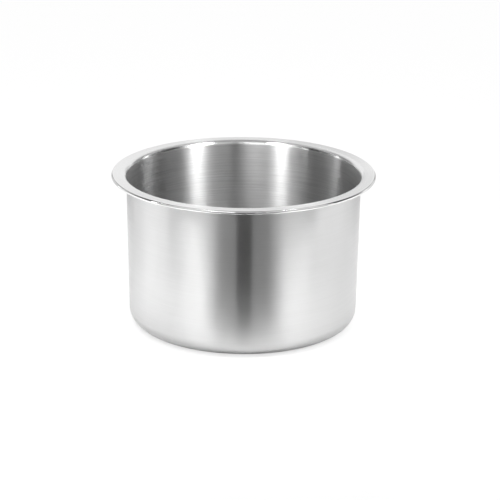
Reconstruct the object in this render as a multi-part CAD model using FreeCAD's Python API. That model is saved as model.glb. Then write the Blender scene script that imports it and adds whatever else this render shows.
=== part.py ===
import FreeCAD, Part
import math
import os

# Soup kettle insert: a stainless pot that hangs in a kettle's well by its flange.
#
# The pot is one deep-drawn pressing of sheet steel: a flat base, a rounded corner, a slightly
# tapered wall, a rounded mouth and a flat flange whose edge is rolled under. The rolled edge is
# closed over a wire hoop, which stiffens the rim.
#
# The origin is the middle of the base's underside, and +Z runs up the pot's axis.
# Lengths are in millimetres and angles in degrees.

# The pot's sizes
MOUTH_DIAMETER = 274.0  # clear opening, where the wall meets the mouth's bend
HEIGHT = 182.0  # from the base's underside to the flange's top face
WALL_DRAFT = 1.0  # lean of the wall, which narrows towards the base
BASE_CORNER_RADIUS = 18.0  # on the outside, between wall and base
SHEET = 0.8  # thickness of the steel

# The rim's sizes
FLANGE_WIDTH = 18.0  # from the clear opening to the outside of the rolled edge
MOUTH_BEND_RADIUS = 5.2  # on the inside of the bend, under the flange
WIRE_DIAMETER = 2.0  # the hoop's wire
WIRE_CLEARANCE = 0.25  # between the wire and the rolled edge, all round
CUT_EDGE_GAP = 0.4  # from the sheet's cut edge up to the flange's underside
SEAT_MARGIN = 0.5  # between the flange's flat seat and the rolled edge
WIRE_BUTT_GAP = 0.5  # between the two ends of the hoop

# Radii that follow from the sizes
MOUTH_RADIUS = MOUTH_DIAMETER / 2
FLANGE_RADIUS = MOUTH_RADIUS + FLANGE_WIDTH
WIRE_RADIUS = WIRE_DIAMETER / 2
ROLL_RADIUS = WIRE_RADIUS + WIRE_CLEARANCE  # inside of the rolled edge
ROLL_REACH = ROLL_RADIUS + SHEET  # outside of the rolled edge

# Directions in the cross-section, which lies in the XZ plane
LEAN = math.radians(WALL_DRAFT)
UP = FreeCAD.Vector(0, 0, 1)
WALL_OUT = FreeCAD.Vector(math.cos(LEAN), 0, -math.sin(LEAN))
WALL_UP = FreeCAD.Vector(math.sin(LEAN), 0, math.cos(LEAN))

# The axis that everything is turned about, and angles round it from +X towards +Y
AXIS_FOOT = FreeCAD.Vector(0, 0, 0)
AXIS = FreeCAD.Vector(0, 0, 1)
BACK = 90.0
FULL_TURN = 360.0


def section_point(radius, height):
    """A point of the cross-section."""
    return FreeCAD.Vector(radius, 0, height)


def roll_centre():
    """The middle of the rolled edge, where the wire lies."""
    return section_point(FLANGE_RADIUS - ROLL_REACH, HEIGHT - ROLL_REACH)


def mouth_centre():
    """The centre of the bend from the wall into the flange."""
    out = (MOUTH_BEND_RADIUS + SHEET) * WALL_OUT.x
    return section_point(MOUTH_RADIUS + out, HEIGHT - SHEET - MOUTH_BEND_RADIUS)


def corner_centre():
    """The centre of the bend from the base into the wall."""
    beside_mouth = mouth_centre() - WALL_OUT * (MOUTH_BEND_RADIUS + BASE_CORNER_RADIUS)
    return beside_mouth - WALL_UP * ((beside_mouth.z - BASE_CORNER_RADIUS) / WALL_UP.z)


def cut_edge_direction():
    """Where the sheet's cut edge stands round the wire: inward, and just under the flange."""
    rise = (ROLL_RADIUS - CUT_EDGE_GAP) / ROLL_REACH
    return FreeCAD.Vector(-math.sqrt(1 - rise**2), 0, rise)


def bend(centre, radius, first, last, over_half_turn=False):
    """A round edge about a centre, from the direction first to the direction last."""
    middle = (first + last).normalize()
    if over_half_turn:
        middle = middle * -1
    return Part.Arc(*[centre + way * radius for way in (first, middle, last)]).toShape()


def sheet_bends(depth):
    """The bends of the base's corner, mouth and rolled edge, at a depth below the outer skin."""
    corner = bend(corner_centre(), BASE_CORNER_RADIUS - depth, UP * -1, WALL_OUT)
    mouth = bend(mouth_centre(), MOUTH_BEND_RADIUS + depth, WALL_OUT * -1, UP)
    roll = bend(roll_centre(), ROLL_RADIUS + depth, UP, cut_edge_direction(), over_half_turn=True)
    return corner, mouth, roll


def line(start, end):
    """A straight edge."""
    return Part.LineSegment(start, end).toShape()


def joined(start, stops):
    """The edges from start through each stop, which is a bend or a bare point, and their end."""
    edges = []
    for stop in stops:
        edges.append(line(start, stop.Vertexes[0].Point))
        edges += stop.Edges
        start = stop.Vertexes[-1].Point
    return edges, start


def drawn_pot():
    """The pressing: the sheet's cross-section turned about the axis."""
    seat_edge = section_point(roll_centre().x - ROLL_REACH - SEAT_MARGIN, HEIGHT - SHEET)
    corner, mouth, roll = sheet_bends(0)
    outer_start = section_point(0, 0)
    outer_edges, outer_end = joined(outer_start, [corner, mouth, Part.Vertex(seat_edge), roll])
    inner_start = section_point(0, SHEET)
    inner_edges, inner_end = joined(inner_start, sheet_bends(SHEET))
    ends = [line(outer_start, inner_start), line(outer_end, inner_end)]
    section = Part.Face(Part.Wire(Part.sortEdges(outer_edges + inner_edges + ends)[0]))
    return section.revolve(AXIS_FOOT, AXIS, FULL_TURN)


def rim_wire():
    """The hoop inside the rolled edge, with a small gap where its ends meet at the back."""
    centre = roll_centre()
    along_wire = FreeCAD.Vector(0, 1, 0)
    section = Part.Face(Part.Wire(Part.makeCircle(WIRE_RADIUS, centre, along_wire)))
    gap_angle = math.degrees(WIRE_BUTT_GAP / centre.x)
    hoop = section.revolve(AXIS_FOOT, AXIS, FULL_TURN - gap_angle)
    hoop.rotate(AXIS_FOOT, AXIS, BACK + gap_angle / 2)
    return hoop


os.makedirs("parts", exist_ok=True)
drawn_pot().exportStep("parts/drawn_pot.step")
rim_wire().exportStep("parts/rim_wire.step")
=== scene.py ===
"""Dresses the soup kettle insert: a brushed stainless pot with a rolled, wired rim.

The pot is modelled again as a smooth, finely turned sheet in place of its plain solid, and the wire
inside the rim keeps its solid. Lengths are in metres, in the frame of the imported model: the origin
is the middle of the base's underside, +Z is up and the photograph looks along +Y.
"""

import logging
import math
from dataclasses import dataclass
from enum import Enum
from typing import Union

import bpy
from mathutils import Matrix, Vector


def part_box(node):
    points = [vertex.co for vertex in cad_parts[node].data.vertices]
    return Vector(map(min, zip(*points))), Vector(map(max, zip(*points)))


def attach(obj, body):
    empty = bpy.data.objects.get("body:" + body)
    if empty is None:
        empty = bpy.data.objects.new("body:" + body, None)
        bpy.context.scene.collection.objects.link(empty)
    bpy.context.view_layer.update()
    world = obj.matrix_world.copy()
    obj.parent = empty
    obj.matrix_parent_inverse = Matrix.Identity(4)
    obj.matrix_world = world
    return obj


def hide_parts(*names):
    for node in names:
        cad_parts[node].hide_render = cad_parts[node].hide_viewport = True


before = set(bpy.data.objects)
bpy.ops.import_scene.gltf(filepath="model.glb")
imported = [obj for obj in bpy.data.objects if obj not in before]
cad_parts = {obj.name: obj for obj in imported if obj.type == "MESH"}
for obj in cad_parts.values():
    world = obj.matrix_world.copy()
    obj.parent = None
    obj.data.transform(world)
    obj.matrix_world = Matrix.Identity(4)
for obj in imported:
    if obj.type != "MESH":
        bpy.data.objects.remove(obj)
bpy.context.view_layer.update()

BODY = "root"
POT_NODE = "drawn_pot"
WIRE_NODE = "rim_wire"
MM = 0.001
UV_MIDDLE = 0.5  # half way across a card's UV map
SKIN_STAYS = -1.0  # the Solidify offset that leaves the modelled skin where it is

# Directions in a cross-section, in degrees from straight out towards straight up
UP = 90.0
INWARD = 180.0
DOWN = -90.0

log = logging.getLogger("soup_kettle_insert")

Point = tuple[float, float]
Span = tuple[float, float]
Colour = tuple[float, float, float, float]
Socket = bpy.types.NodeSocket
Feed = Union[Socket, float, tuple]


def deselect_all() -> None:
    """Leaves object mode with nothing selected."""
    if bpy.context.object and bpy.context.object.mode != "OBJECT":
        bpy.ops.object.mode_set(mode="OBJECT")
    bpy.ops.object.select_all(action="DESELECT")


def grey(level: float) -> Colour:
    """A neutral, opaque colour."""
    return (level, level, level, 1.0)


def beside_pot(turn: float, out: float, height: float) -> Vector:
    """Finds a place in the studio round the pot.

    Args:
        turn: Degrees round the axis from straight in front, towards the right.
        out: The distance from the axis.
        height: The height over the floor.

    Returns:
        The place.
    """
    angle = math.radians(turn)
    return Vector((math.sin(angle) * out, -math.cos(angle) * out, height))


def arc_points(centre: Point, radius: float, start: float, end: float, steps: int) -> list[Point]:
    """Points along a round stretch of a cross-section.

    Args:
        centre: The arc's centre, as radius and height.
        radius: The arc's radius.
        start: The first angle in degrees, from straight out towards straight up.
        end: The last angle in degrees.
        steps: How many stretches the arc is cut into.

    Returns:
        The arc's points, both ends included.
    """
    angles = [math.radians(start + (end - start) * i / steps) for i in range(steps + 1)]
    return [(centre[0] + radius * math.cos(a), centre[1] + radius * math.sin(a)) for a in angles]


def line_points(start: Point, end: Point, steps: int) -> list[Point]:
    """Points between two ends of a straight stretch of a cross-section, without the ends.

    Args:
        start: The first end, as radius and height.
        end: The last end.
        steps: How many stretches the line is cut into.

    Returns:
        The points strictly between the ends.
    """
    shares = [i / steps for i in range(1, steps)]
    return [tuple(a + (b - a) * s for a, b in zip(start, end)) for s in shares]


class MixKind(Enum):
    """What a Mix node blends, by Blender's own word for it."""

    NUMBER = "FLOAT"
    COLOUR = "RGBA"


class NodeSheet:
    """A node tree that is being wired, with short ways to add and join nodes."""

    def __init__(self, tree: bpy.types.NodeTree) -> None:
        """Starts on an existing tree."""
        self.tree = tree

    def add(self, kind: str, **settings: object) -> bpy.types.Node:
        """Adds a node.

        Args:
            kind: The node's type without its ShaderNode prefix, or a whole NodeGroup type.
            settings: Attributes to set on the node.

        Returns:
            The new node.
        """
        name = kind if kind.startswith("NodeGroup") else "ShaderNode" + kind
        node = self.tree.nodes.new(name)
        for key, value in settings.items():
            setattr(node, key, value)
        return node

    def join(self, source: Socket, target: Socket) -> None:
        """Links an output to an input."""
        self.tree.links.new(source, target)

    def feed(self, value: Feed, target: Socket) -> None:
        """Links an output to an input, or sets a plain value on it.

        Args:
            value: An output, a number, a vector or a colour.
            target: The input.
        """
        if isinstance(value, Socket):
            self.join(value, target)
        else:
            target.default_value = value

    def math(self, operation: str, first: Feed, second: Feed = 0.0) -> Socket:
        """Adds a Math node.

        Args:
            operation: The node's operation.
            first: An output or a number.
            second: An output or a number.

        Returns:
            The node's output.
        """
        node = self.add("Math", operation=operation)
        self.feed(first, node.inputs[0])
        self.feed(second, node.inputs[1])
        return node.outputs[0]

    def vector(self, operation: str, first: Feed, second: Feed = (0.0, 0.0, 0.0)) -> bpy.types.Node:
        """Adds a Vector Math node.

        Args:
            operation: The node's operation.
            first: An output or a vector.
            second: An output or a vector.

        Returns:
            The node.
        """
        node = self.add("VectorMath", operation=operation)
        self.feed(first, node.inputs[0])
        self.feed(second, node.inputs[1])
        return node

    def mix(self, kind: MixKind, factor: Socket, first: Feed, second: Feed) -> Socket:
        """Blends two values.

        Args:
            kind: What is blended.
            factor: The share of the second value.
            first: The value where the share is 0.
            second: The value where the share is 1.

        Returns:
            The blended value.
        """
        node = self.add("Mix", data_type=kind.value)
        for name, item in (("Factor", factor), ("A", first), ("B", second)):
            self.feed(item, node.inputs[name])
        return node.outputs["Result"]

    def spread(self, value: Socket, low: Feed, high: Feed, to_low: Feed, to_high: Feed) -> Socket:
        """Maps a value smoothly from one range to another.

        Args:
            value: The value to map.
            low: The value that gives to_low.
            high: The value that gives to_high.
            to_low: The first result.
            to_high: The last result.

        Returns:
            The mapped value.
        """
        node = self.add("MapRange", interpolation_type="SMOOTHSTEP")
        ends = (("From Min", low), ("From Max", high), ("To Min", to_low), ("To Max", to_high))
        for name, item in (("Value", value), *ends):
            self.feed(item, node.inputs[name])
        return node.outputs["Result"]

    def split(self, vector: Socket) -> bpy.types.bpy_prop_collection:
        """Takes a vector apart.

        Args:
            vector: The vector.

        Returns:
            Its X, Y and Z outputs.
        """
        node = self.add("SeparateXYZ")
        self.join(vector, node.inputs[0])
        return node.outputs


class GroupSheet(NodeSheet):
    """A shader node group that is being wired."""

    def __init__(self, name: str, inputs: dict[str, float], outputs: list[str]) -> None:
        """Makes the group with its named sockets.

        Args:
            name: The group's name.
            inputs: Each input's name and its default number.
            outputs: The names of the outputs, all numbers.
        """
        super().__init__(bpy.data.node_groups.new(name, "ShaderNodeTree"))
        for socket, value in inputs.items():
            made = self.tree.interface.new_socket(socket, in_out="INPUT", socket_type="NodeSocketFloat")
            made.default_value = value
        for socket in outputs:
            self.tree.interface.new_socket(socket, in_out="OUTPUT", socket_type="NodeSocketFloat")
        self.inlet = self.add("NodeGroupInput").outputs
        self.outlet = self.add("NodeGroupOutput").inputs

    def turned_place(self) -> tuple[Socket, Socket, Socket]:
        """Finds where a point lies on a turned piece.

        Returns:
            The direction from the axis, the distance from the axis and the height.
        """
        place = self.add("TexCoord").outputs["Object"]
        flat = self.vector("MULTIPLY", place, (1.0, 1.0, 0.0)).outputs["Vector"]
        radius = self.vector("LENGTH", flat).outputs["Value"]
        outward = self.vector("NORMALIZE", flat).outputs["Vector"]
        return outward, radius, self.split(place)["Z"]


@dataclass(frozen=True)
class TurnedLines:
    """Brush lines that run round a turned piece.

    The lines follow the distance along the section, so they are level on a wall and concentric on a
    base or a flange, and each fades in and out along its arc.
    """

    line_width: float = 0.4 * MM
    band_width: float = 3 * MM
    arc_cuts: float = 1.5  # how often a line fades along its arc
    patch_size: float = 60 * MM
    line_detail: float = 1.0
    band_detail: float = 2.0
    line_contrast: Span = (0.1, 0.9)  # the noise that gives 0 and 1
    patch_contrast: Span = (0.3, 0.7)

    def group(self) -> bpy.types.NodeTree:
        """Builds the lines' node group.

        Returns:
            The group, which puts out fine Lines, wider Bands and uneven Patches, each from 0 to 1.
        """
        inputs = {
            "Line Width": self.line_width,
            "Band Width": self.band_width,
            "Arc Cuts": self.arc_cuts,
            "Patch Size": self.patch_size,
        }
        sheet = GroupSheet("Turned lines", inputs, ["Lines", "Bands", "Patches"])
        outward, radius, height = sheet.turned_place()
        along = sheet.math("ADD", radius, height)
        wander = sheet.vector("SCALE", outward)
        sheet.join(sheet.inlet["Arc Cuts"], wander.inputs["Scale"])
        around = sheet.split(wander.outputs["Vector"])
        for width, output, detail in (
            ("Line Width", "Lines", self.line_detail),
            ("Band Width", "Bands", self.band_detail),
        ):
            place = sheet.add("CombineXYZ")
            sheet.join(around["X"], place.inputs["X"])
            sheet.join(around["Y"], place.inputs["Y"])
            sheet.join(sheet.math("DIVIDE", along, sheet.inlet[width]), place.inputs["Z"])
            noise = sheet.add("TexNoise")
            noise.inputs["Scale"].default_value = 1.0
            noise.inputs["Detail"].default_value = detail
            sheet.join(place.outputs[0], noise.inputs["Vector"])
            clear = sheet.spread(noise.outputs[0], *self.line_contrast, 0.0, 1.0)
            sheet.join(clear, sheet.outlet[output])
        patches = sheet.add("TexNoise")
        sheet.join(sheet.math("DIVIDE", 1.0, sheet.inlet["Patch Size"]), patches.inputs["Scale"])
        sheet.join(sheet.add("TexCoord").outputs["Object"], patches.inputs["Vector"])
        uneven = sheet.spread(patches.outputs[0], *self.patch_contrast, 0.0, 1.0)
        sheet.join(uneven, sheet.outlet["Patches"])
        return sheet.tree


@dataclass(frozen=True)
class RimPolish:
    """Where the rim is buffed brighter than the wall: each pair is where it starts and is full."""

    bend: Span  # heights up the mouth's bend
    flange: Span  # distances from the axis
    edge: Span  # distances from the axis

    def group(self) -> bpy.types.NodeTree:
        """Builds the masks' node group.

        Returns:
            The group. Its Polish grows up the mouth's bend and is full on the flange and the rolled
            edge, and its Edge is full on the rolled edge alone.
        """
        inputs = {
            "Bend Foot": self.bend[0],
            "Bend Top": self.bend[1],
            "Flange Start": self.flange[0],
            "Flange Full": self.flange[1],
            "Edge Start": self.edge[0],
            "Edge Full": self.edge[1],
        }
        sheet = GroupSheet("Rim polish", inputs, ["Polish", "Edge"])
        _, radius, height = sheet.turned_place()
        bend = sheet.spread(height, sheet.inlet["Bend Foot"], sheet.inlet["Bend Top"], 0.0, 1.0)
        flange = sheet.spread(radius, sheet.inlet["Flange Start"], sheet.inlet["Flange Full"], 0.0, 1.0)
        edge = sheet.spread(radius, sheet.inlet["Edge Start"], sheet.inlet["Edge Full"], 0.0, 1.0)
        sheet.join(sheet.math("MAXIMUM", bend, flange), sheet.outlet["Polish"])
        sheet.join(edge, sheet.outlet["Edge"])
        return sheet.tree


@dataclass(frozen=True)
class FinishGroups:
    """The node groups that the finishes share."""

    lines: bpy.types.NodeTree
    polish: bpy.types.NodeTree


@dataclass(frozen=True)
class BrushedSteel:
    """Stainless steel with brush lines round the piece's axis, buffed smoother at the rim."""

    name: str
    colour: Colour
    colour_swing: float  # how far lines and patches darken the colour
    roughness: float
    roughness_swing: float
    polished_colour: Colour
    polished_roughness: float
    edge_roughness: float  # on the rolled edge
    line_width: float
    band_width: float
    arc_cuts: float
    line_height: float
    buffed_height: float = 0.2  # share of the lines' height that buffing leaves
    lines_share: float = 0.6  # how much of the darkening each pattern makes
    bands_share: float = 0.3
    patches_share: float = 0.1
    anisotropy: float = 1.0
    quarter_turn: float = 0.25  # stretches the gloss across the lines, not along them

    def tint(self, sheet: NodeSheet, lines: bpy.types.Node, polish: bpy.types.Node) -> Socket:
        """Wires the colour, darker in the brush lines and even where the rim is buffed.

        Args:
            sheet: The material's node tree.
            lines: The brush lines' group node.
            polish: The rim polish's group node.

        Returns:
            The colour.
        """
        fine = sheet.math("MULTIPLY", lines.outputs["Lines"], self.lines_share)
        wide = sheet.math("MULTIPLY", lines.outputs["Bands"], self.bands_share)
        uneven = sheet.math("MULTIPLY", lines.outputs["Patches"], self.patches_share)
        bare = sheet.math("ADD", sheet.math("ADD", fine, wide), uneven)
        darker = (*(c * (1.0 - self.colour_swing) for c in self.colour[:3]), 1.0)
        brushed = sheet.mix(MixKind.COLOUR, bare, darker, self.colour)
        return sheet.mix(MixKind.COLOUR, polish.outputs["Polish"], brushed, self.polished_colour)

    def gloss(self, sheet: NodeSheet, lines: bpy.types.Node, polish: bpy.types.Node) -> Socket:
        """Wires the roughness, which the bands vary and the buffing evens out.

        Args:
            sheet: The material's node tree.
            lines: The brush lines' group node.
            polish: The rim polish's group node.

        Returns:
            The roughness.
        """
        roughest = self.roughness + self.roughness_swing
        smoothest = self.roughness - self.roughness_swing
        brushed = sheet.spread(lines.outputs["Bands"], 0.0, 1.0, roughest, smoothest)
        buffed = sheet.mix(MixKind.NUMBER, polish.outputs["Polish"], brushed, self.polished_roughness)
        return sheet.mix(MixKind.NUMBER, polish.outputs["Edge"], buffed, self.edge_roughness)

    def relief(self, sheet: NodeSheet, lines: bpy.types.Node, polish: bpy.types.Node) -> Socket:
        """Wires the brush lines' relief, which the buffing nearly removes.

        Args:
            sheet: The material's node tree.
            lines: The brush lines' group node.
            polish: The rim polish's group node.

        Returns:
            The normal.
        """
        left = sheet.spread(polish.outputs["Polish"], 0.0, 1.0, 1.0, self.buffed_height)
        bump = sheet.add("Bump")
        bump.inputs["Strength"].default_value = 1.0
        bump.inputs["Distance"].default_value = self.line_height
        sheet.join(sheet.math("MULTIPLY", lines.outputs["Lines"], left), bump.inputs["Height"])
        return bump.outputs["Normal"]

    def material(self, groups: FinishGroups) -> bpy.types.Material:
        """Builds the finish's material.

        Args:
            groups: The shared node groups.

        Returns:
            The material.
        """
        material = bpy.data.materials.new(self.name)
        material.use_nodes = True
        sheet = NodeSheet(material.node_tree)
        lines = sheet.add("Group", node_tree=groups.lines)
        lines.inputs["Line Width"].default_value = self.line_width
        lines.inputs["Band Width"].default_value = self.band_width
        lines.inputs["Arc Cuts"].default_value = self.arc_cuts
        polish = sheet.add("Group", node_tree=groups.polish)
        tangent = sheet.add("Tangent", direction_type="RADIAL", axis="Z")
        shader = sheet.tree.nodes["Principled BSDF"].inputs
        sheet.join(self.tint(sheet, lines, polish), shader["Base Color"])
        sheet.join(self.gloss(sheet, lines, polish), shader["Roughness"])
        sheet.join(self.relief(sheet, lines, polish), shader["Normal"])
        sheet.join(tangent.outputs["Tangent"], shader["Tangent"])
        shader["Metallic"].default_value = 1.0
        shader["Anisotropic"].default_value = self.anisotropy
        shader["Anisotropic Rotation"].default_value = self.quarter_turn
        return material


class PotZone(Enum):
    """The pot's differently finished zones, numbered as the material slots of its mesh."""

    OUTSIDE = 0
    INSIDE = 1


POT_FINISHES = {
    PotZone.OUTSIDE: BrushedSteel(
        name="Brushed steel, outside",
        colour=grey(0.63),
        colour_swing=0.05,
        roughness=0.3,
        roughness_swing=0.02,
        polished_colour=grey(0.63),
        polished_roughness=0.29,
        edge_roughness=0.29,
        line_width=1.4 * MM,
        band_width=4 * MM,
        arc_cuts=2.0,
        line_height=0.05 * MM,
        anisotropy=0.9,
    ),
    PotZone.INSIDE: BrushedSteel(
        name="Brushed steel, inside",
        colour=grey(0.62),
        colour_swing=0.22,
        roughness=0.305,
        roughness_swing=0.025,
        polished_colour=grey(0.8),
        polished_roughness=0.2,
        edge_roughness=0.1,
        line_width=1.4 * MM,
        band_width=3 * MM,
        arc_cuts=2.5,
        line_height=0.15 * MM,
    ),
}
WIRE_FINISH = BrushedSteel(
    name="Drawn steel wire",
    colour=grey(0.55),
    colour_swing=0.15,
    roughness=0.35,
    roughness_swing=0.05,
    polished_colour=grey(0.55),
    polished_roughness=0.3,
    edge_roughness=0.3,
    line_width=0.4 * MM,
    band_width=2 * MM,
    arc_cuts=8.0,
    line_height=0.002 * MM,
)


@dataclass(frozen=True)
class DrawnPot:
    """The pot's pressing, turned from the outline of its outer skin and given the sheet's thickness."""

    flange_radius: float
    height: float
    mouth_radius: float = 137 * MM
    draft: float = 1.0  # degrees by which the wall leans out
    corner_radius: float = 18 * MM  # outside, between base and wall
    sheet: float = 0.8 * MM
    mouth_bend: float = 5.2 * MM  # outer skin's radius under the flange
    roll_radius: float = 1.25 * MM  # inside of the rolled edge
    cut_edge_gap: float = 0.4 * MM  # from the sheet's cut edge up to the flange
    bend_buff_gap: float = 1 * MM  # below the flange's top, where the bend's buffing is full
    flange_buff_reach: float = 3 * MM  # from the bend to where the flange's buffing is full
    edge_buff: Span = (3.5 * MM, 2 * MM)  # in from the rim's edge: where its buffing starts and is full
    base_steps: int = 6
    corner_steps: int = 16
    wall_steps: int = 12
    mouth_steps: int = 12
    flange_steps: int = 4
    roll_steps: int = 40
    turn_steps: int = 288
    merge_reach: float = 0.01 * MM
    sharp_angle: float = 40.0  # degrees past which an edge stays sharp
    name: str = "turned_pot"

    @property
    def roll_reach(self) -> float:
        """The rolled edge's radius on its outside."""
        return self.roll_radius + self.sheet

    @property
    def rim_middle(self) -> Vector:
        """The middle of the rolled edge's circle."""
        return Vector((0.0, 0.0, self.height - self.roll_reach))

    def polish(self) -> RimPolish:
        """Says where the rim is buffed.

        Returns:
            The zones, measured from the pot's own sizes.
        """
        bend_reach = self.mouth_bend + self.sheet
        flange_start = self.mouth_radius + bend_reach
        edge_start, edge_full = self.edge_buff
        return RimPolish(
            bend=(self.height - bend_reach, self.height - self.bend_buff_gap),
            flange=(flange_start, flange_start + self.flange_buff_reach),
            edge=(self.flange_radius - edge_start, self.flange_radius - edge_full),
        )

    def outline(self) -> list[Point]:
        """Works out the outer skin's cross-section.

        Returns:
            Its points as radius and height, from the base's middle to the sheet's cut edge.
        """
        lean = math.radians(self.draft)
        mouth = (
            self.mouth_radius + (self.mouth_bend + self.sheet) * math.cos(lean),
            self.height - self.sheet - self.mouth_bend,
        )
        reach = self.mouth_bend + self.corner_radius
        beside_mouth = (mouth[0] - reach * math.cos(lean), mouth[1] + reach * math.sin(lean))
        drop = beside_mouth[1] - self.corner_radius
        corner = (beside_mouth[0] - drop * math.tan(lean), self.corner_radius)
        roll = (self.flange_radius - self.roll_reach, self.height - self.roll_reach)
        rise = math.degrees(math.asin((self.roll_radius - self.cut_edge_gap) / self.roll_reach))
        corner_bend = arc_points(corner, self.corner_radius, DOWN, -self.draft, self.corner_steps)
        mouth_bend = arc_points(mouth, self.mouth_bend, INWARD - self.draft, UP, self.mouth_steps)
        rolled_edge = arc_points(roll, self.roll_radius, UP, -INWARD - rise, self.roll_steps)
        middle = (0.0, 0.0)
        return [
            middle,
            *line_points(middle, corner_bend[0], self.base_steps),
            *corner_bend,
            *line_points(corner_bend[-1], mouth_bend[0], self.wall_steps),
            *mouth_bend,
            *line_points(mouth_bend[-1], rolled_edge[0], self.flange_steps),
            *rolled_edge,
        ]

    def build(self) -> bpy.types.Object:
        """Models the outer skin: its outline is drawn point by point and spun about the axis.

        Returns:
            The pot's object, still without thickness.
        """
        points = self.outline()
        deselect_all()
        bpy.ops.mesh.primitive_plane_add(size=self.sheet, location=(0.0, 0.0, 0.0))
        pot = bpy.context.object
        pot.name = self.name
        bpy.ops.object.mode_set(mode="EDIT")
        bpy.ops.mesh.select_all(action="SELECT")
        bpy.ops.mesh.merge(type="CENTER")
        for (r0, z0), (r1, z1) in zip(points, points[1:]):
            step = (r1 - r0, 0.0, z1 - z0)
            bpy.ops.mesh.extrude_region_move(TRANSFORM_OT_translate={"value": step})
        bpy.ops.mesh.select_all(action="SELECT")
        bpy.ops.mesh.spin(steps=self.turn_steps, angle=math.tau, center=(0, 0, 0), axis=(0, 0, 1))
        bpy.ops.mesh.select_all(action="SELECT")
        bpy.ops.mesh.remove_doubles(threshold=self.merge_reach)
        # The skin is open and its hollow counts as its inside, where the sheet's thickness goes
        bpy.ops.mesh.normals_make_consistent(inside=True)
        bpy.ops.object.mode_set(mode="OBJECT")
        return pot

    def thicken(self, pot: bpy.types.Object) -> None:
        """Gives the skin the sheet's thickness, towards the inside of the pot.

        Args:
            pot: The pot's object, with its materials.
        """
        thickness = pot.modifiers.new("Sheet thickness", "SOLIDIFY")
        thickness.thickness = self.sheet
        thickness.offset = SKIN_STAYS
        thickness.use_even_offset = True
        thickness.material_offset = PotZone.INSIDE.value
        bpy.context.view_layer.objects.active = pot
        bpy.ops.object.modifier_apply(modifier=thickness.name)

    def dress(self, pot: bpy.types.Object, groups: FinishGroups) -> None:
        """Puts the finishes on the pot's two skins and smooths its shading.

        Args:
            pot: The pot's object.
            groups: The node groups that the finishes share.
        """
        for zone in PotZone:
            pot.data.materials.append(POT_FINISHES[zone].material(groups))
        self.thicken(pot)
        deselect_all()
        pot.select_set(True)
        bpy.context.view_layer.objects.active = pot
        bpy.ops.object.shade_smooth_by_angle(angle=math.radians(self.sharp_angle))


@dataclass(frozen=True)
class RimWire:
    """The hoop inside the rolled edge, which keeps its solid and gets a drawn wire's finish."""

    finish: BrushedSteel = WIRE_FINISH

    def dress(self, groups: FinishGroups) -> bpy.types.Object:
        """Puts the finish on the hoop.

        Args:
            groups: The node groups that the finish shares.

        Returns:
            The hoop's object.
        """
        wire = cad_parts[WIRE_NODE]
        wire.data.materials.clear()
        wire.data.materials.append(self.finish.material(groups))
        return wire


@dataclass(frozen=True)
class PhotoCamera:
    """The camera that took the photograph, by where the rim's middle lies in its square frame."""

    lens_mm: float = 150.43
    sensor_mm: float = 36.0
    frame_pixels: float = 500.0
    distance: float = 2.4503  # from the rim's middle, along the view
    elevation: float = 18.558  # degrees
    roll: float = 0.51  # degrees
    rim_pixel: Point = (243.68, 173.51)

    def place(self, rim: Vector) -> bpy.types.Object:
        """Adds the camera and makes it the scene's.

        Args:
            rim: The middle of the rolled edge's circle.

        Returns:
            The camera's object.
        """
        rise = math.radians(self.elevation)
        tilt = math.radians(self.roll)
        ahead = Vector((0.0, math.cos(rise), -math.sin(rise)))
        level_up = Vector((0.0, math.sin(rise), math.cos(rise)))
        level_right = Vector((1.0, 0.0, 0.0))
        right = level_right * math.cos(tilt) + level_up * math.sin(tilt)
        up = level_up * math.cos(tilt) - level_right * math.sin(tilt)
        focal_pixels = self.lens_mm / self.sensor_mm * self.frame_pixels
        frame_middle = self.frame_pixels / 2
        across, down = ((p - frame_middle) / focal_pixels * self.distance for p in self.rim_pixel)
        spot = rim - right * across + up * down - ahead * self.distance
        data = bpy.data.cameras.new("photo_camera")
        data.lens = self.lens_mm
        data.sensor_width = self.sensor_mm
        camera = bpy.data.objects.new("photo_camera", data)
        turn = Matrix((right, up, -ahead)).transposed()
        camera.matrix_world = Matrix.Translation(spot) @ turn.to_4x4()
        bpy.context.scene.collection.objects.link(camera)
        bpy.context.scene.camera = camera
        return camera


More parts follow.
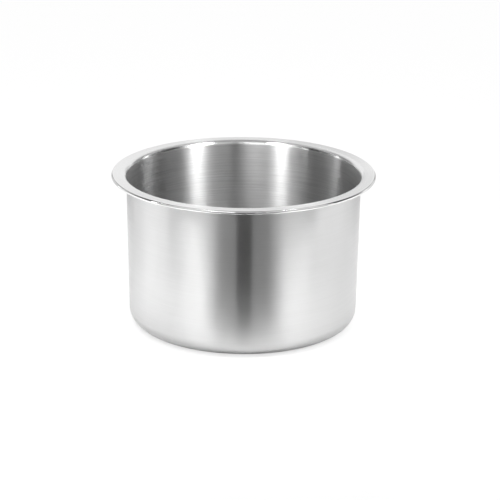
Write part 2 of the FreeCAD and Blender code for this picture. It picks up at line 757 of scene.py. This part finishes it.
@dataclass(frozen=True)
class Card:
    """A studio card round the pot, seen only in the metal: bright as a soft box or dark as a flag."""

    name: str
    turn: float  # degrees round the axis from straight in front, towards the right
    out: float  # distance from the axis
    width: float
    span: Span  # heights of its bottom and top
    glow: float
    fade: float  # share of the half width over which it fades out
    lights_floor: bool = False  # a soft box that also brightens the floor

    def place(self) -> bpy.types.Object:
        """Adds the card, facing the pot's axis.

        Returns:
            The card's object.
        """
        bottom, top = self.span
        deselect_all()
        bpy.ops.mesh.primitive_plane_add(size=1.0)
        card = bpy.context.object
        card.name = self.name
        card.dimensions = (self.width, top - bottom, 0.0)
        card.rotation_euler = (math.pi / 2, 0.0, math.radians(self.turn))
        card.location = beside_pot(self.turn, self.out, (bottom + top) / 2)
        card.data.materials.append(self.material())
        card.visible_camera = False
        card.visible_diffuse = self.lights_floor
        card.visible_shadow = False
        card.visible_transmission = False
        return card

    def material(self) -> bpy.types.Material:
        """Builds the card's glow, which fades out towards its two upright edges.

        Returns:
            The material.
        """
        material = bpy.data.materials.new(self.name)
        material.use_nodes = True
        sheet = NodeSheet(material.node_tree)
        sheet.tree.nodes.remove(sheet.tree.nodes["Principled BSDF"])
        across = sheet.split(sheet.add("TexCoord").outputs["UV"])["X"]
        from_middle = sheet.math("ABSOLUTE", sheet.math("SUBTRACT", across, UV_MIDDLE))
        shown = sheet.spread(from_middle, UV_MIDDLE * (1.0 - self.fade), UV_MIDDLE, 1.0, 0.0)
        glow = sheet.add("Emission")
        glow.inputs["Strength"].default_value = self.glow
        mix = sheet.add("MixShader")
        sheet.join(shown, mix.inputs["Fac"])
        sheet.join(sheet.add("BsdfTransparent").outputs[0], mix.inputs[1])
        sheet.join(glow.outputs[0], mix.inputs[2])
        sheet.join(mix.outputs[0], sheet.tree.nodes["Material Output"].inputs["Surface"])
        return material


# The bright streaks inside, each drawn by the box across from it
STREAK_BOXES = (
    Card(
        "left_soft_box", turn=-45, out=0.36, width=0.11, span=(0.25, 0.85), glow=15.5, fade=0.25,
        lights_floor=True,
    ),
    Card(
        "right_soft_box", turn=59.5, out=0.36, width=0.115, span=(0.27, 0.9), glow=15.5, fade=0.25,
        lights_floor=True,
    ),
    Card("left_back_box", turn=-117.5, out=0.6, width=0.06, span=(0.2, 0.4), glow=4.4, fade=0.3),
    Card("right_back_box", turn=124.5, out=0.6, width=0.06, span=(0.2, 0.4), glow=5.0, fade=0.3),
    Card("left_thin_box", turn=-72.5, out=0.55, width=0.028, span=(0.25, 0.6), glow=8.5, fade=0.5),
)

# The dark and grey inside, between those streaks
INSIDE_CARDS = (
    Card("left_flag", turn=-88, out=0.6, width=0.55, span=(0.25, 1.0), glow=0.0, fade=0.15),
    Card("right_flag", turn=97, out=0.6, width=0.53, span=(0.25, 1.0), glow=0.0, fade=0.15),
    Card("left_back_flag", turn=-136, out=0.6, width=0.33, span=(0.25, 0.9), glow=0.3, fade=0.3),
    Card("right_back_flag", turn=142, out=0.6, width=0.3, span=(0.25, 0.9), glow=0.3, fade=0.4),
    Card("high_left_box", turn=-13, out=0.5, width=0.28, span=(0.25, 0.62), glow=3.55, fade=0.25),
    Card("high_front_flag", turn=11, out=0.5, width=0.1, span=(0.2, 0.6), glow=0.0, fade=0.1),
    Card("high_right_flag", turn=26, out=0.5, width=0.14, span=(0.25, 0.62), glow=0.8, fade=0.4),
)

# The tones of the outer wall: bright at its sides, dark down its front
OUTSIDE_CARDS = (
    Card("left_low_box", turn=-90, out=0.5, width=0.35, span=(0.0, 0.24), glow=1.4, fade=0.7),
    Card("right_low_box", turn=90, out=0.5, width=0.35, span=(0.0, 0.24), glow=1.3, fade=0.7),
    Card("left_near_flag", turn=-48, out=0.55, width=0.5, span=(0.0, 0.3), glow=0.55, fade=0.4),
    Card("right_near_flag", turn=48, out=0.55, width=0.5, span=(0.0, 0.3), glow=0.45, fade=0.4),
    Card("left_back_low_flag", turn=-133, out=0.5, width=0.35, span=(0.0, 0.24), glow=0.7, fade=0.5),
    Card("right_back_low_flag", turn=133, out=0.5, width=0.35, span=(0.0, 0.24), glow=0.7, fade=0.5),
    Card("front_flag", turn=1.5, out=0.21, width=0.27, span=(0.0, 0.19), glow=0.25, fade=0.63),
    Card("camera_flag", turn=1, out=0.205, width=0.042, span=(0.0, 0.25), glow=0.03, fade=0.25),
)

# The flange's tones, and flags beside the rim that keep the soft boxes out of its rolled edge
RIM_CARDS = (
    Card("left_overhead_box", turn=-55, out=0.55, width=0.4, span=(0.62, 1.5), glow=2.3, fade=0.5),
    Card("right_overhead_box", turn=68, out=0.55, width=0.35, span=(0.62, 1.5), glow=2.4, fade=0.5),
    Card("right_rear_flag", turn=170, out=0.6, width=0.2, span=(0.2, 0.36), glow=0.75, fade=0.6),
    Card("left_side_rim_flag", turn=-97, out=0.205, width=0.12, span=(0.19, 0.22), glow=0.85, fade=0.3),
    Card("left_rim_flag", turn=-36, out=0.205, width=0.088, span=(0.196, 0.36), glow=0.85, fade=0.3),
    Card(
        "front_left_rim_flag", turn=-15, out=0.205, width=0.12, span=(0.194, 0.228), glow=1.1,
        fade=0.15,
    ),
    Card("front_rim_flag", turn=3, out=0.2, width=0.07, span=(0.184, 0.212), glow=0.95, fade=0.5),
    Card("right_rim_flag", turn=43, out=0.205, width=0.095, span=(0.2, 0.378), glow=0.85, fade=0.3),
    Card("right_side_rim_flag", turn=97, out=0.205, width=0.12, span=(0.19, 0.22), glow=1.05, fade=0.3),
)


@dataclass(frozen=True)
class FloorLamp:
    """A lamp above that puts a soft pool of light on the floor beside the pot."""

    name: str
    turn: float  # degrees round the axis from straight in front, towards the right
    out: float  # distance from the axis
    power: float
    height: float = 0.7
    cone: float = 25.0  # degrees
    size: float = 0.1

    def place(self) -> bpy.types.Object:
        """Adds the lamp, pointing straight down.

        Returns:
            The lamp's object.
        """
        deselect_all()
        spot = beside_pot(self.turn, self.out, self.height)
        bpy.ops.object.light_add(type="SPOT", location=spot)
        lamp = bpy.context.object
        lamp.name = self.name
        lamp.visible_glossy = False
        lamp.data.energy = self.power
        lamp.data.spot_size = math.radians(self.cone)
        lamp.data.spot_blend = 1.0
        lamp.data.shadow_soft_size = self.size
        return lamp


FLOOR_LAMPS = (
    FloorLamp("left_floor_lamp", turn=-37, out=0.34, power=13.5),
    FloorLamp("left_side_floor_lamp", turn=-80, out=0.33, power=12.0),
    FloorLamp("right_floor_lamp", turn=37, out=0.34, power=12.5),
)


@dataclass(frozen=True)
class Studio:
    """The white floor and its lamps, the even light from all round and the cards in the metal."""

    floor_size: float = 12.0
    floor_shade: float = 0.95
    floor_white: float = 0.65  # share of plain white that the camera sees over the shaded floor
    painted_foot_shade: float = 0.77  # painted shade: how dark the floor's colour is made round the foot, seen in the metal alone
    painted_foot_shade_reach: Span = (0.13, 0.195)  # where that painted shade is full and where it ends
    daylight: float = 1.0
    overhead: float = 0.36  # how bright the surroundings straight above look in the metal
    overhead_start: float = 0.6  # height on a unit sphere from which they get darker

    def floor_paint(self) -> bpy.types.Material:
        """Builds the floor's white, which takes shadows and has a shadow painted into its colour round
        the pot's foot, seen only in the metal.

        Returns:
            The material.
        """
        paint = bpy.data.materials.new("White floor")
        paint.use_nodes = True
        sheet = NodeSheet(paint.node_tree)
        ray = sheet.add("LightPath").outputs
        from_axis = sheet.vector("LENGTH", sheet.add("TexCoord").outputs["Object"]).outputs["Value"]
        # Painted shadow: the floor's colour darkens round the pot's foot, for glossy rays alone
        painted_foot_shadow = sheet.spread(from_axis, *self.painted_foot_shade_reach, self.painted_foot_shade, 1.0)
        shade = sheet.spread(ray["Is Glossy Ray"], 0.0, 1.0, 1.0, painted_foot_shadow)
        matt = sheet.tree.nodes["Principled BSDF"]
        sheet.join(sheet.math("MULTIPLY", shade, self.floor_shade), matt.inputs["Base Color"])
        matt.inputs["Roughness"].default_value = 1.0
        matt.inputs["Specular IOR Level"].default_value = 0.0
        mix = sheet.add("MixShader")
        sheet.join(sheet.math("MULTIPLY", ray["Is Camera Ray"], self.floor_white), mix.inputs["Fac"])
        sheet.join(matt.outputs[0], mix.inputs[1])
        sheet.join(sheet.add("Emission").outputs[0], mix.inputs[2])
        sheet.join(mix.outputs[0], sheet.tree.nodes["Material Output"].inputs["Surface"])
        return paint

    def floor(self) -> bpy.types.Object:
        """Adds the floor under the pot.

        Returns:
            The floor's object.
        """
        deselect_all()
        bpy.ops.mesh.primitive_plane_add(size=self.floor_size, location=(0.0, 0.0, 0.0))
        floor = bpy.context.object
        floor.name = "floor"
        floor.data.materials.append(self.floor_paint())
        return floor

    def surroundings(self) -> bpy.types.World:
        """Builds the even light from all round, darker straight above in the metal alone.

        Returns:
            The world.
        """
        world = bpy.data.worlds.new("White surroundings")
        world.use_nodes = True
        sheet = NodeSheet(world.node_tree)
        sky = world.node_tree.nodes["Background"].inputs
        sky["Color"].default_value = grey(1.0)
        height = sheet.split(sheet.add("TexCoord").outputs["Generated"])["Z"]
        in_metal = sheet.spread(height, self.overhead_start, 1.0, self.daylight, self.overhead)
        on_floor = sheet.add("LightPath").outputs["Is Diffuse Ray"]
        sheet.join(sheet.spread(on_floor, 0.0, 1.0, in_metal, self.daylight), sky["Strength"])
        return world

    def place(self) -> list[bpy.types.Object]:
        """Adds the floor, the surroundings, the cards and the lamps, and sets plain colours.

        Returns:
            The objects that were added.
        """
        bpy.context.scene.world = self.surroundings()
        bpy.context.scene.view_settings.view_transform = "Standard"
        lights = (*STREAK_BOXES, *INSIDE_CARDS, *OUTSIDE_CARDS, *RIM_CARDS, *FLOOR_LAMPS)
        return [self.floor(), *(light.place() for light in lights)]


def main() -> None:
    """Builds the pot, the wire's finish, the camera and the studio in order, and reports each."""
    logging.basicConfig(level=logging.INFO, format="%(name)s: %(message)s")
    _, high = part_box(POT_NODE)
    drawn_pot = DrawnPot(flange_radius=high[0], height=high[2])
    groups = FinishGroups(lines=TurnedLines().group(), polish=drawn_pot.polish().group())
    pot = drawn_pot.build()
    drawn_pot.dress(pot, groups)
    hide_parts(POT_NODE)
    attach(pot, BODY)
    log.info("%s: %d faces in place of %s", pot.name, len(pot.data.polygons), POT_NODE)
    wire = RimWire().dress(groups)
    log.info("%s: keeps its solid, in %s", wire.name, wire.data.materials[0].name)
    camera = PhotoCamera().place(drawn_pot.rim_middle)
    log.info("%s: %.2f m from the axis", camera.name, camera.location.xy.length)
    staged = Studio().place()
    log.info("studio: %d objects round the pot", len(staged))


if __name__ == "__main__":
    main()
